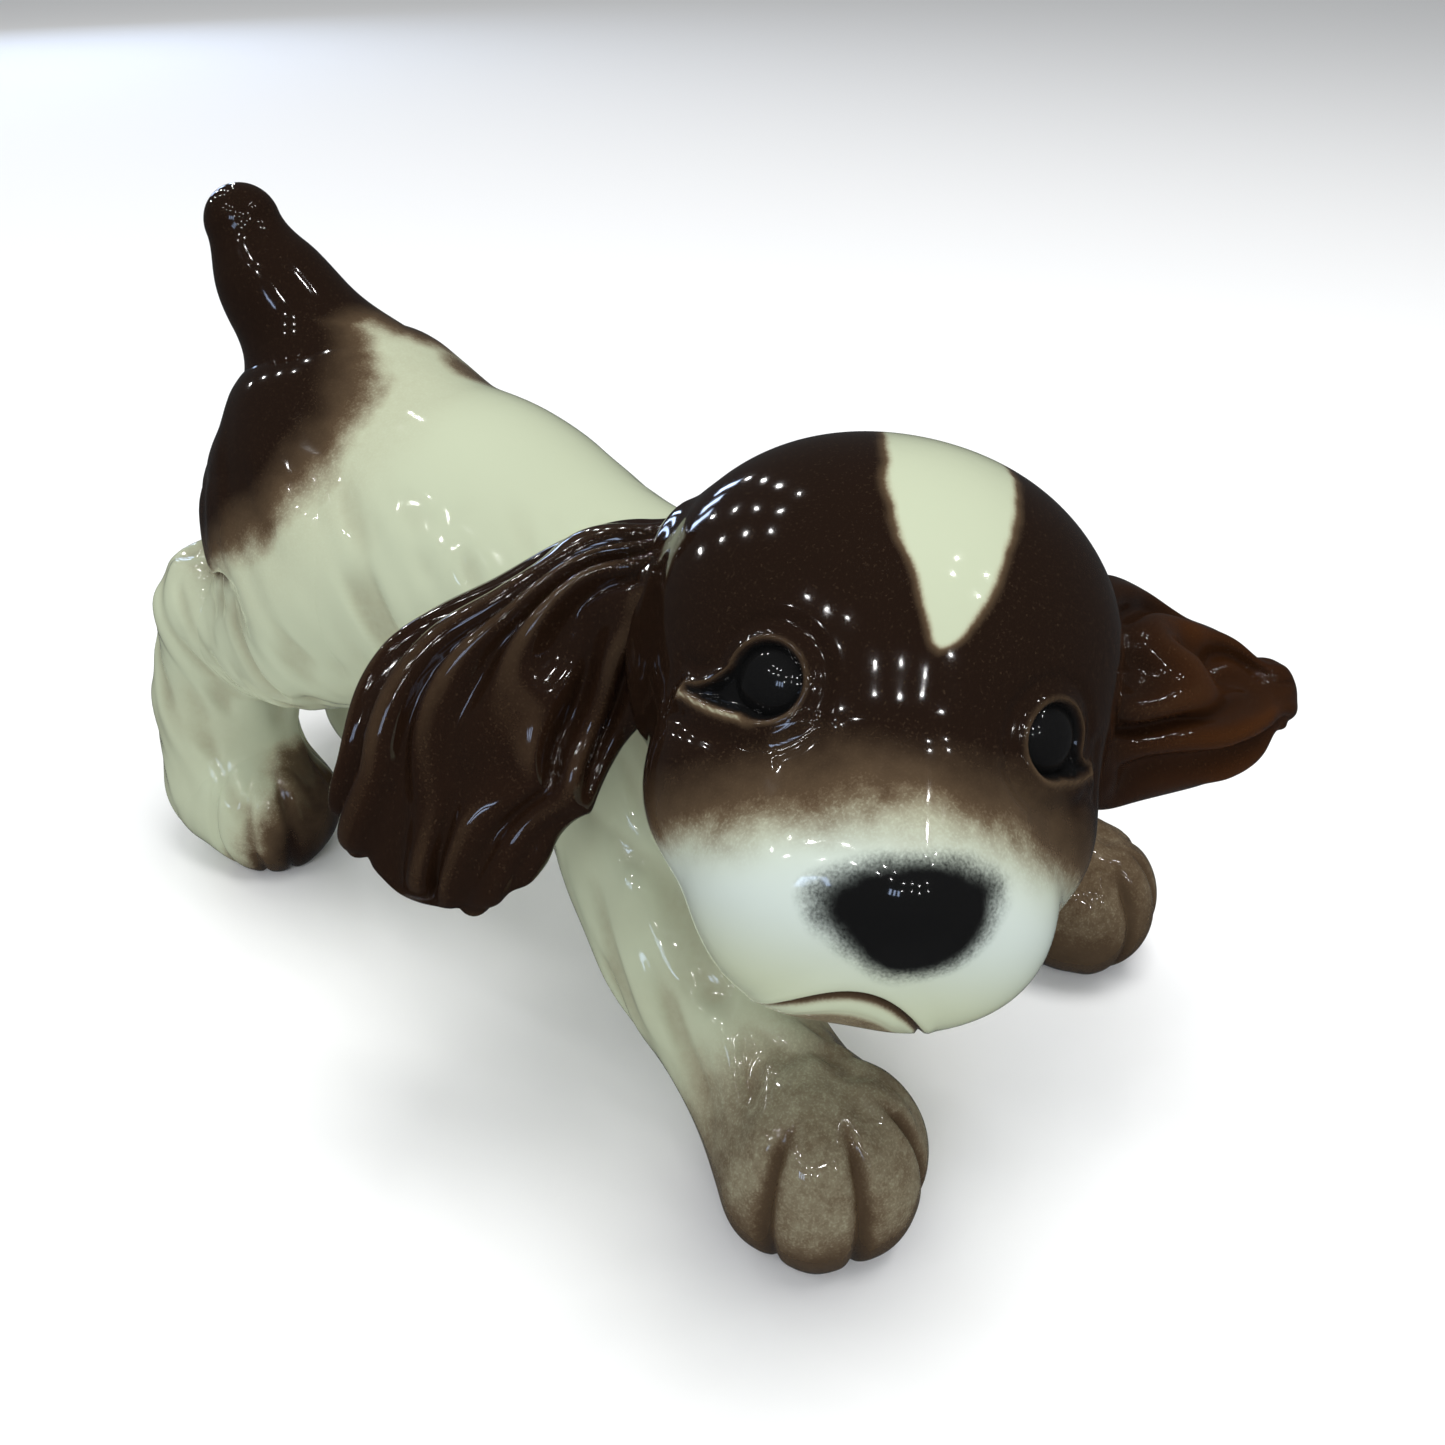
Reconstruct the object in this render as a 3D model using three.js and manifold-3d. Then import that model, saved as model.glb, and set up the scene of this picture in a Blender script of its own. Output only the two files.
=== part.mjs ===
// A glazed pottery puppy: it crouches with its rump up and its tail raised, and looks round over
// its right shoulder with the head cocked and both ears flying. It is made the way such a figurine
// is made, from nine pieces of cast or pressed clay that are stuck together with slip before the
// glaze: a hollow body, a hollow head, two ears, a tail and four legs.
//
// Millimetres, +Z up. The puppy stands along Y with its chest to -Y, and its left is +X. The origin
// is on the surface it stands on, under the middle of the whole figurine.

import * as THREE from 'three';
import { LoftGeometry } from 'three/addons/geometries/LoftGeometry.js';
import { mergeVertices } from 'three/addons/utils/BufferGeometryUtils.js';
import Module from 'manifold-3d';

const wasm = await Module();
wasm.setup();

// ---- driving dimensions ----

const WALL = 3.5; // thickness of the slip-cast body and head
const VENT_DIAMETER = 3; // air holes that let the fired hollows breathe
const SLIP_GAP = 0.3; // clearance where two pieces are stuck together
const SEAM_BLEND = 5; // how softly the balls of the head run into each other

// A limb's spine is a list of balls, [x, y, z, radius], from its buried end to its free end.
const TORSO = [
  [-2, 40, 61, 20.5],
  [-2, 22, 56, 23.2],
  [-1, 2, 50.5, 22],
  [-1, -16, 48, 20.5],
  [-3, -32, 50, 19],
  [-8, -42, 55, 17],
];
const TAIL = [
  [-1, 42, 72, 14],
  [-1.2, 48, 83, 9],
  [-2.5, 54, 93.5, 6.6],
  [-3, 57, 99.5, 5.4],
];
const FRONT_RIGHT_LEG = [
  [-14, -21, 44, 14.5],
  [-22, -28, 31, 11.5],
  [-26.5, -43, 19, 10.5],
  [-30, -53.5, 12, 11],
  [-33, -61, 9.5, 12.7],
];
const FRONT_LEFT_LEG = [
  [15, -24, 44, 14],
  [23, -40, 28, 11],
  [30, -55, 15, 10],
  [33, -64.8, 9.6, 11.4],
];
const HIND_RIGHT_LEG = [
  [-11, 38, 57, 17.5],
  [-14, 36, 50, 16],
  [-16, 46, 43, 12],
  [-18, 60.5, 43, 9.3],
  [-18.5, 65, 27, 9],
  [-18.5, 61, 11, 9.5],
  [-18.5, 53, 9, 10.8],
];
const HIND_LEFT_LEG = [
  [7, 38, 57, 17.5],
  [10, 36, 50, 16],
  [11, 46, 43, 12],
  [13.5, 60.5, 43, 9.3],
  [14.5, 65, 27, 9],
  [15, 61, 11, 9.5],
  [16, 53, 9, 10.5],
];

// The head turns round its own centre. Its own X is its left, -Y the way it looks, +Z its crown.
const HEAD_CENTRE = [-20.6, -59.1, 67.3];
const HEAD_TURN_DEG = { pitch: -22.6, tilt: 11.8, look: -51.1 };
const HEAD_BALLS = [
  [-0.5, 0, 0.5, 24], // skull
  [-3.7, 3.5, 4.5, 22.4], // crown, right
  [2.7, 3, 4.5, 22.4], // crown, left
  [-14, -11, -11, 11], // right cheek
  [12.5, -10, -11, 10.5], // left cheek
  [0, -18, -13, 14], // muzzle
  [-8, -20, -17, 11], // right lip
  [7, -20, -18, 10.5], // left lip
  [-6, -15, -21, 10.8], // jaw, right
  [4, -15, -22, 9.8], // jaw, left
  [0, -31, -12.5, 5.5], // nose
  [-14.1, -17, 1, 5], // right eye
  [14, -17, 0, 5], // left eye
];

// An ear is a flat flap: [x, y, z, half width] along it, in the head's own axes.
const EAR_HALF_THICKNESS = 4;
const EAR_TIP_REACH = 0.8; // how far an ear's tip rounds off, over its last half width
const RIGHT_EAR = {
  spine: [
    [-17, 4, 8, 7],
    [-28, 6, 6, 10],
    [-37, 8, -3, 13.3],
    [-43.5, 8.5, -13.5, 16.3],
    [-45.3, 8.5, -21.8, 14],
  ],
  faces: [-0.3, -0.85, 0.4],
};
const LEFT_EAR = {
  spine: [
    [17, 4, 5, 9],
    [25, 7, 3.7, 12.8],
    [33, 10, 3.8, 12.6],
    [40, 13, 4.8, 9.5],
    [46, 16, 6.3, 6],
    [49.8, 17.5, 7.2, 3],
  ],
  faces: [0.3, -0.9, 0.2],
};

// Facets: sides round a limb or an ear, steps along each stretch of an ear, rings in a rounded end.
const SIDES = 14;
const STEPS_PER_STRETCH = 3;
const END_RINGS = 3;
const TIP_BLUNTING = 0.35; // the last ring stops this part of a ring short of the tip
const VENT_SIDES = 12;
const HEAD_FACETS = { around: 28, down: 20 };
const HEAD_REACH = 80; // farther out than any of the head
const HALVINGS = 30;
const WELD = 1e-4; // points nearer than this are one
const GROUND = { side: 400, depth: 60 };

// ---- materials ----

/** A glossy glaze in one colour. */
function glaze(color) {
  return new THREE.MeshStandardMaterial({ color, roughness: 0.12, metalness: 0 });
}

const CREAM = glaze(0xcdd5b8);
const BROWN = glaze(0x2e1f18);
const BUFF = glaze(0xb8b096);

// ---- spines and sections ----

/** The spine's place and radius at every step, smoothly interpolated. */
function sampleSpine(spine) {
  const path = new THREE.CatmullRomCurve3(
    spine.map(([x, y, z]) => new THREE.Vector3(x, y, z)), false, 'centripetal');
  const radii = new THREE.CatmullRomCurve3(
    spine.map(([, , , r], index) => new THREE.Vector3(index, r, 0)), false, 'centripetal');
  const count = (spine.length - 1) * STEPS_PER_STRETCH;
  const samples = [];
  for (let step = 0; step <= count; step += 1) {
    const t = step / count;
    samples.push({
      centre: path.getPoint(t),
      along: path.getTangent(t),
      radius: radii.getPoint(t).y,
    });
  }
  return samples;
}

/** Extra samples that round off one end like half a ball; side is -1 for the start, 1 for the end. */
function roundedEnd(sample, side, reach) {
  const extra = [];
  for (let ring = 1; ring <= END_RINGS; ring += 1) {
    const angle = (ring / (END_RINGS + TIP_BLUNTING)) * Math.PI / 2;
    extra.push({
      centre: sample.centre.clone().addScaledVector(sample.along, side * reach * Math.sin(angle)),
      along: sample.along,
      radius: sample.radius * Math.cos(angle),
      flatten: Math.cos(angle),
    });
  }
  return side < 0 ? extra.reverse() : extra;
}

/** An ellipse of points round a sample, anticlockwise as seen from the free end. */
function ellipse(sample, across, halfWidth, halfThickness) {
  const wide = across.clone().addScaledVector(sample.along, -across.dot(sample.along)).normalize();
  const deep = new THREE.Vector3().crossVectors(sample.along, wide);
  return Array.from({ length: SIDES }, (unused, index) => {
    const angle = (index / SIDES) * Math.PI * 2;
    return sample.centre.clone()
      .addScaledVector(wide, halfWidth * Math.cos(angle))
      .addScaledVector(deep, halfThickness * Math.sin(angle));
  });
}

// ---- geometries ----

/**
 * Two balls and the cone that touches both, as a profile turned round the line between them. The
 * cone leaves both balls where their surfaces lean by the same angle.
 */
function taperedCapsuleGeometry([ax, ay, az, startRadius], [bx, by, bz, endRadius]) {
  const start = new THREE.Vector3(ax, ay, az);
  const along = new THREE.Vector3(bx, by, bz).sub(start);
  const length = along.length();
  const lean = Math.asin((startRadius - endRadius) / length);
  const profile = [];
  for (let ring = 0; ring <= END_RINGS; ring += 1) {
    const angle = -Math.PI / 2 + (ring / END_RINGS) * (Math.PI / 2 + lean);
    profile.push(new THREE.Vector2(
      ring === 0 ? 0 : startRadius * Math.cos(angle), startRadius * Math.sin(angle)));
  }
  for (let ring = 0; ring <= END_RINGS; ring += 1) {
    const angle = lean + (ring / END_RINGS) * (Math.PI / 2 - lean);
    profile.push(new THREE.Vector2(
      ring === END_RINGS ? 0 : endRadius * Math.cos(angle), length + endRadius * Math.sin(angle)));
  }
  const geometry = new THREE.LatheGeometry(profile, SIDES);
  const turn = new THREE.Quaternion().setFromUnitVectors(
    new THREE.Vector3(0, 1, 0), along.normalize());
  return geometry.applyQuaternion(turn).translate(ax, ay, az);
}

/** A flat flap with rounded edges: elliptical sections whose thin way is the way the ear faces. */
function earGeometry({ spine, faces }, grow = 0) {
  const facing = new THREE.Vector3(...faces);
  const samples = sampleSpine(spine);
  const first = samples[0];
  const last = samples[samples.length - 1];
  const all = [
    ...roundedEnd(first, -1, EAR_HALF_THICKNESS),
    ...samples,
    ...roundedEnd(last, 1, last.radius * EAR_TIP_REACH),
  ];
  const sections = all.map((sample) => {
    const across = new THREE.Vector3().crossVectors(facing, sample.along).normalize();
    const thin = EAR_HALF_THICKNESS * (sample.flatten ?? 1) + grow;
    return ellipse(sample, across, sample.radius + grow, thin);
  });
  return new LoftGeometry(sections, { capStart: true, capEnd: true });
}

/** Distance to a soft union of balls, negative inside. */
function distanceToBalls(point, balls) {
  return balls.reduce((near, [x, y, z, r]) => {
    const far = Math.hypot(point.x - x, point.y - y, point.z - z) - r;
    const overlap = Math.max(SEAM_BLEND - Math.abs(near - far), 0) / SEAM_BLEND;
    return Math.min(near, far) - (overlap ** 3) * SEAM_BLEND / 6;
  }, Infinity);
}

/** A ball whose points are pushed out along their rays until they meet a soft union of balls. */
function headGeometry(grow = 0) {
  const geometry = new THREE.SphereGeometry(1, HEAD_FACETS.around, HEAD_FACETS.down);
  const position = geometry.getAttribute('position');
  const ray = new THREE.Vector3();
  const point = new THREE.Vector3();
  for (let index = 0; index < position.count; index += 1) {
    ray.fromBufferAttribute(position, index).normalize();
    let inside = 0;
    let outside = HEAD_REACH;
    for (let halving = 0; halving < HALVINGS; halving += 1) {
      const middle = (inside + outside) / 2;
      point.copy(ray).multiplyScalar(middle);
      if (distanceToBalls(point, HEAD_BALLS) < grow) {
        inside = middle;
      } else {
        outside = middle;
      }
    }
    position.setXYZ(index, ray.x * inside, ray.y * inside, ray.z * inside);
  }
  return geometry;
}

/** A straight round hole from one point to another. */
function ventGeometry(from, to) {
  const along = to.clone().sub(from);
  const geometry = new THREE.CylinderGeometry(
    VENT_DIAMETER / 2, VENT_DIAMETER / 2, along.length(), VENT_SIDES);
  const turn = new THREE.Quaternion().setFromUnitVectors(
    new THREE.Vector3(0, 1, 0), along.clone().normalize());
  geometry.applyQuaternion(turn);
  geometry.translate(...from.clone().add(to).multiplyScalar(0.5));
  return geometry;
}

// ---- solids ----

/** A closed geometry as a solid that can be joined and cut, moved by matrix if there is one. */
function solid(geometry, matrix = new THREE.Matrix4()) {
  const bare = new THREE.BufferGeometry();
  bare.setAttribute('position', geometry.getAttribute('position'));
  bare.setIndex(geometry.index);
  const merged = mergeVertices(bare.applyMatrix4(matrix), WELD);
  return new wasm.Manifold(new wasm.Mesh({
    numProp: 3,
    vertProperties: new Float32Array(merged.getAttribute('position').array),
    triVerts: new Uint32Array(merged.index.array),
  }));
}

/** A round limb along a spine; grow moves its whole surface outwards, or inwards if negative. */
function limb(spine, grow = 0, matrix = undefined) {
  const balls = spine.map(([x, y, z, r]) => [x, y, z, r + grow]);
  return balls.slice(1)
    .map((ball, index) => solid(taperedCapsuleGeometry(balls[index], ball), matrix))
    .reduce((joined, stretch) => joined.add(stretch));
}

/** A named mesh made from a solid. */
function pottery(name, body, material) {
  const { vertProperties, triVerts } = body.getMesh();
  const geometry = new THREE.BufferGeometry();
  geometry.setAttribute('position', new THREE.BufferAttribute(vertProperties, 3));
  geometry.setIndex(new THREE.BufferAttribute(triVerts, 1));
  geometry.computeVertexNormals();
  const mesh = new THREE.Mesh(geometry, material);
  mesh.name = name;
  return mesh;
}

/** Everything below the surface that the puppy stands on. */
function ground() {
  const { side, depth } = GROUND;
  return solid(new THREE.BoxGeometry(side, side, depth).translate(0, 0, -depth / 2));
}

// ---- head, with its ears, in the head's own axes ----

const headGroup = new THREE.Group();
headGroup.position.set(...HEAD_CENTRE);
headGroup.rotation.set(
  THREE.MathUtils.degToRad(HEAD_TURN_DEG.pitch),
  THREE.MathUtils.degToRad(HEAD_TURN_DEG.tilt),
  THREE.MathUtils.degToRad(HEAD_TURN_DEG.look), 'ZXY');
headGroup.updateMatrix();
const toHead = headGroup.matrix.clone().invert();

/** A point given in the figurine's axes, in the head's own. */
function inHeadAxes([x, y, z]) {
  return new THREE.Vector3(x, y, z).applyMatrix4(toHead);
}

/** The hollow head, with an air hole down into the neck. */
function makeHead() {
  const hollow = solid(headGeometry(-WALL));
  const airHole = solid(ventGeometry(new THREE.Vector3(), inHeadAxes(TORSO[4])));
  return solid(headGeometry()).subtract(hollow).subtract(airHole);
}

/** One ear, cut to sit on the head, the body and the leg under it. */
function makeEar(shape) {
  const gap = SLIP_GAP;
  return solid(earGeometry(shape))
    .subtract(solid(headGeometry(gap)))
    .subtract(limb(TORSO, gap, toHead))
    .subtract(limb(FRONT_RIGHT_LEG, gap, toHead));
}

headGroup.add(
  pottery('head', makeHead(), BROWN),
  pottery('right_ear', makeEar(RIGHT_EAR), BROWN),
  pottery('left_ear', makeEar(LEFT_EAR), BROWN),
);

// ---- body, tail and legs, in the figurine's axes ----

/** The hollow body, with a seat for the head, an air hole to it and a vent under the belly. */
function makeTorso() {
  const headSeat = solid(headGeometry(SLIP_GAP), headGroup.matrix);
  const hollow = limb(TORSO, -WALL);
  const belly = new THREE.Vector3(...TORSO[2]);
  const bellyVent = solid(ventGeometry(belly, belly.clone().setZ(0)));
  const neckHole = solid(ventGeometry(
    new THREE.Vector3(...HEAD_CENTRE), new THREE.Vector3(...TORSO[4])));
  return limb(TORSO)
    .subtract(headSeat)
    .subtract(hollow.subtract(solid(headGeometry(WALL), headGroup.matrix)))
    .subtract(bellyVent)
    .subtract(neckHole);
}

/** A solid limb, cut to sit on the body and the head and trimmed flat where it stands. */
function makeLimb(spine, ...neighbours) {
  const cut = limb(spine)
    .subtract(limb(TORSO, SLIP_GAP))
    .subtract(solid(headGeometry(SLIP_GAP), headGroup.matrix))
    .subtract(ground());
  return neighbours.reduce(
    (rest, neighbour) => rest.subtract(limb(neighbour, SLIP_GAP)), cut);
}

const figurine = new THREE.Group();
figurine.add(
  pottery('torso', makeTorso(), CREAM),
  headGroup,
  pottery('tail', makeLimb(TAIL), BROWN),
  pottery('front_right_leg', makeLimb(FRONT_RIGHT_LEG), BUFF),
  pottery('front_left_leg', makeLimb(FRONT_LEFT_LEG, FRONT_RIGHT_LEG), BUFF),
  pottery('hind_right_leg', makeLimb(HIND_RIGHT_LEG, TAIL), CREAM),
  pottery('hind_left_leg', makeLimb(HIND_LEFT_LEG, HIND_RIGHT_LEG, TAIL), CREAM),
);

// The origin goes under the middle of the whole figurine, on the surface it stands on.
const middle = new THREE.Box3().setFromObject(figurine, true).getCenter(new THREE.Vector3());
figurine.position.set(-middle.x, -middle.y, 0);

export default figurine;
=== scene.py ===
"""A glazed pottery puppy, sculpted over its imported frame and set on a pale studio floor.

The puppy is modelled in the sculptor's axes, in millimetres: +Z up, its chest to -Y and its left +X.
Every clay piece is a closed grid of points pushed out along rays from its own spine or middle. Where
two pieces meet, each swells towards the other like slip smoothed into a joint, and past the joint it
sinks under its neighbour, so the glaze runs over both without a step.
"""

import math

import bpy
import numpy as np
from mathutils import Matrix, Vector


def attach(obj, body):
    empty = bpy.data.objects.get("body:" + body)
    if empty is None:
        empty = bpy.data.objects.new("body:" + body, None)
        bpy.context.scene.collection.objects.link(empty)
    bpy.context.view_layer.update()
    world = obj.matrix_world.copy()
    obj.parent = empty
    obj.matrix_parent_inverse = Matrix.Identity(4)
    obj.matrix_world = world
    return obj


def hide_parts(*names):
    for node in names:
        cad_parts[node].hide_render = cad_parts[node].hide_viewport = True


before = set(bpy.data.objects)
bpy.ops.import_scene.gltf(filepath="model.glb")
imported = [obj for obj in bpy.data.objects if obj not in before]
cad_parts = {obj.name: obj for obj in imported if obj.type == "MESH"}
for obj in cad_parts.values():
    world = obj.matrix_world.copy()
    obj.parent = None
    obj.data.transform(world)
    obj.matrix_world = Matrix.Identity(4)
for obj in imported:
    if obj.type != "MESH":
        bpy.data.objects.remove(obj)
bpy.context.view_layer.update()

bl_info = {
    "name": "Pottery Puppy",
    "version": (1, 0, 0),
    "blender": (4, 5, 0),
    "location": "3D View > Sidebar > Puppy",
    "description": "Sculpts a glazed pottery puppy over its packed frame",
    "category": "Add Mesh",
}

MM = 0.001

# ---- the figurine's spines, as the frame has them: balls of [x, y, z, radius] ----

TORSO = [[-1.5, 39, 62, 20.3], [-1.5, 22, 57, 23], [-1, 2, 50.5, 21.5], [-1, -16, 48, 20],
         [-3, -32, 50, 18.5], [-8, -42, 55, 17]]
TAIL = [[-1, 42, 72, 14], [-1.6, 48.4, 83, 9.6], [-3.1, 54.8, 92.8, 7.2], [-3.3, 57.3, 98.4, 5.3]]
FRONT_RIGHT_LEG = [[-14, -21, 44, 14.5], [-22, -28, 31, 11.5], [-26.5, -43, 19, 10.5],
                   [-30, -53.5, 12, 11], [-33, -61, 9.5, 12.7]]
FRONT_LEFT_LEG = [[15, -24, 44, 14], [23, -40, 28, 11], [30, -55, 15, 10], [33, -64.8, 9.6, 11.4]]
HIND_RIGHT_HAUNCH = [[-11, 38, 57, 17.5], [-14, 36, 50, 16], [-16, 46, 43, 12], [-17.5, 58, 41, 8]]
HIND_LEFT_HAUNCH = [[7, 38, 57, 17.5], [10, 36, 50, 16], [11, 46, 43, 12], [13, 58, 41, 8]]
HIND_RIGHT_SHANK = [[-17.1, 59.3, 43, 9.3], [-16.5, 62.5, 27, 11.3], [-18.5, 62, 11.5, 10.8]]
HIND_LEFT_SHANK = [[13.5, 60, 43, 9.3], [14, 63, 27, 10.4], [15, 62, 11, 9.8]]
HIND_RIGHT_PAW = [[-18.5, 60, 10, 9.5], [-18.5, 53, 9, 10.8]]
HIND_LEFT_PAW = [[15, 60, 10, 9.5], [16, 53, 9, 10.5]]

# The brown sprayed over each paw: where, how far out and how strong.
PAW_WASH = (([-33, -62, 8], 27, 0.36), ([33, -64, 10], 30, 0.46),
            ([-15, 47, 7], 17, 0.74), ([16, 47, 7], 17, 0.74))

# The middle of the whole figurine in the sculptor's axes. It stands over the frame's origin.
FIGURE_MIDDLE = np.array([-6.54, -9.24, 0.0])

# The head turns round its own centre: local X is its left, -Y the way it looks, +Z its crown.
HEAD_CENTRE = np.array([-20.6, -59.1, 67.3])
HEAD_PITCH, HEAD_TILT, HEAD_LOOK = (math.radians(a) for a in (-22.6, 11.8, -51.1))
HEAD_TURN = np.array(Matrix.Rotation(HEAD_LOOK, 3, "Z") @ Matrix.Rotation(HEAD_PITCH, 3, "X")
                     @ Matrix.Rotation(HEAD_TILT, 3, "Y"))
HEAD_BALLS = np.array([
    [-0.5, 0, 0.5, 23.0], [-4.9, 3.5, 4.7, 21.6], [3.3, 3, 4.4, 21.6],  # skull and crown
    [-14, -11, -11, 10], [12.5, -10, -11, 9.5],  # cheeks
    [0, -18, -13, 12.5], [-8, -20, -17, 9.8], [7, -20, -18, 9.3],  # muzzle and lips
    [-6, -15, -21, 9.8], [4, -15, -22, 8.8], [0.3, -29.5, -14.5, 4.0],  # jaw and nose
])
HEAD_SOFTNESS = 2.2  # how softly the balls of the head run together

# Each eye: where its dome sits on the face, and the way it looks, in the head's axes.
EYES = {"right": (np.array([-14.3, -18.6, 1.1]), np.array([-0.56, -0.82, 0.06])),
        "left": (np.array([13.2, -18.9, 0.2]), np.array([0.52, -0.85, 0.06]))}
EYE_SHOWS = 3.6  # half the width of the dome that shows between the lids
EYE_CORNERS = {"right": 8.6, "left": 5.6}  # from the middle of the dome to the lids' outer corner

# An ear is a flat flap: [x, y, z, half width] along it, in the head's axes, and the way it faces.
RIGHT_EAR = [[-17, 4, 8, 7], [-28, 6, 6, 10], [-37, 8, -3, 13.3], [-43.5, 8.5, -13.5, 16.3],
             [-45.3, 8.5, -21.8, 14]]
RIGHT_EAR_FACES = (-0.3, -0.85, 0.4)
LEFT_EAR = [[17, 4, 5, 9], [25, 7, 4.3, 13], [33, 10, 4.2, 12.8], [40, 13, 4.3, 10.3], [46, 16, 5.5, 7.3],
            [49.4, 17.4, 6.3, 4.6]]
LEFT_EAR_FACES = (0.3, -0.9, 0.2)
EAR_HALF_THICKNESS = 4.0
EAR_BLEND = 4.0  # how near the head and an ear start to swell towards each other

# The surface is looked for along each ray by halving, from nought to farther than it can lie.
HALVINGS = 18
MOST_SWELLING = 8.0
HEAD_REACH = 48.0


# ---- curves, frames and noise ----

def along_spline(knots, values, at, flat_ends=False):
    """A cubic through the values whose slope and bend never jump, with straight or flat ends."""
    count = len(knots)
    step = np.diff(knots)
    slope = np.diff(values, axis=0) / step[:, None]
    system = np.eye(count)
    right = np.zeros_like(values, dtype=float)
    for i in range(1, count - 1):
        system[i, i - 1:i + 2] = step[i - 1], 2 * (step[i - 1] + step[i]), step[i]
        right[i] = 6 * (slope[i] - slope[i - 1])
    if flat_ends:
        system[0, :2] = 2 * step[0], step[0]
        right[0] = 6 * slope[0]
        system[-1, -2:] = step[-1], 2 * step[-1]
        right[-1] = -6 * slope[-1]
    bend = np.linalg.solve(system, right)
    piece = np.clip(np.searchsorted(knots, at, side="right") - 1, 0, count - 2)
    width = step[piece][:, None]
    before = (knots[piece + 1] - at)[:, None] / width
    after = 1 - before
    return (before * values[piece] + after * values[piece + 1]
            + ((before ** 3 - before) * bend[piece] + (after ** 3 - after) * bend[piece + 1])
            * width ** 2 / 6)


def smooth_spine(spine, count):
    """Places, directions and radii at even steps along a spine."""
    spine = np.asarray(spine, dtype=float)
    gaps = np.linalg.norm(np.diff(spine[:, :3], axis=0), axis=1)
    knots = np.concatenate([[0], np.cumsum(gaps)])
    at = np.linspace(0, knots[-1], count)
    places = along_spline(knots, spine[:, :3], at)
    radii = along_spline(knots, spine[:, 3:], at, flat_ends=True)[:, 0]
    return places, unit(np.gradient(places, at, axis=0)), radii


def unit(vectors):
    """The vectors at length one."""
    return vectors / np.maximum(np.linalg.norm(vectors, axis=-1, keepdims=True), 1e-12)


def smoothstep(low, high, value):
    """0 below low, 1 above high, and an S-shaped rise between them."""
    t = np.clip((value - low) / (high - low), 0, 1)
    return t * t * (3 - 2 * t)


def lattice_noise(points, seed=0):
    """Random values on a unit lattice, smoothly joined, from -1 to 1. The large odd numbers and the
    shifts only scatter the bits of a lattice point's place, so each point has a value of its own."""
    cell = np.floor(points).astype(np.int64)
    part = points - cell
    part = part ** 3 * (part * (part * 6 - 15) + 10)
    total = np.zeros(points.shape[:-1])
    for corner in np.ndindex(2, 2, 2):
        x, y, z = np.moveaxis(cell + np.array(corner), -1, 0)
        mixed = (x * 374761393 + y * 668265263 + z * 1440662683 + seed * 974634777) & 0xFFFFFFFF
        mixed = ((mixed ^ (mixed >> 13)) * 1274126177) & 0xFFFFFFFF
        value = ((mixed ^ (mixed >> 16)) & 0xFFFF) / 32767.5 - 1
        total += value * np.prod(np.where(corner, part, 1 - part), axis=-1)
    return total


def in_head_axes(points):
    """Points of the sculptor's axes in the head's own axes."""
    return (points - HEAD_CENTRE) @ HEAD_TURN


def from_head_axes(points):
    """Points of the head's own axes in the sculptor's axes."""
    return points @ HEAD_TURN.T + HEAD_CENTRE


# ---- distances to the other pieces ----

def chain_distance(spine, segments=20):
    """A function: the distance from points to a round limb, negative inside it. It is the least, over
    short straight stretches of the spine, of the distance to the stretch less the radius there."""
    places, _, radii = smooth_spine(spine, segments + 1)
    starts, steps = places[:-1], np.diff(places, axis=0)
    lengths = (steps ** 2).sum(axis=1)

    def distance(points):
        nearest = np.full(len(points), np.inf)
        for start, step, length, first, last in zip(starts, steps, lengths, radii[:-1], radii[1:]):
            offset = points - start
            part = np.clip(offset @ step / length, 0, 1)
            gap = np.linalg.norm(offset - part[:, None] * step, axis=1) - (first + part * (last - first))
            np.minimum(nearest, gap, out=nearest)
        return nearest
    return distance


def head_distance(points):
    """The distance to the soft union of the head's balls: minus softness times the log of a sum."""
    local = in_head_axes(points)
    gaps = [np.linalg.norm(local - ball[:3], axis=1) - ball[3] for ball in HEAD_BALLS]
    nearest = np.min(gaps, axis=0)
    total = sum(np.exp((nearest - gap) / HEAD_SOFTNESS) for gap in gaps)
    return nearest - HEAD_SOFTNESS * np.log(total)


def ear_distance(spine, faces, thickness, flakes=14, flake_length=4):
    """A function: a soft distance to a flat ear made of overlapping flat ellipsoids. It is the least
    scaled radius from their middles, less one, times the thickness."""
    places, along, widths = smooth_spine(spine, flakes)
    across = unit(np.cross(np.array(faces), along))
    normal = np.cross(along, across)

    def distance(points):
        local = in_head_axes(points)
        nearest = np.full(len(points), np.inf)
        for place, forward, side, out, width in zip(places, along, across, normal, widths):
            offset = local - place
            scaled = np.sqrt((offset @ side / width) ** 2 + (offset @ out / thickness) ** 2
                             + (offset @ forward / flake_length) ** 2)
            np.minimum(nearest, (scaled - 1) * thickness, out=nearest)
        return nearest
    return distance


def swelling(closeness, reach):
    """How far a piece swells towards a neighbour. closeness is its own distance less the neighbour's:
    the swelling grows from nothing at -reach to reach/4 at the joint, and sinks under it past that."""
    before = np.maximum(reach + closeness, 0) ** 2 / (4 * reach)
    past = np.clip(closeness, 0, reach / 2)
    return np.where(closeness < 0, before, reach / 4 + past / 2 - past ** 2 / (2 * reach))


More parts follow.
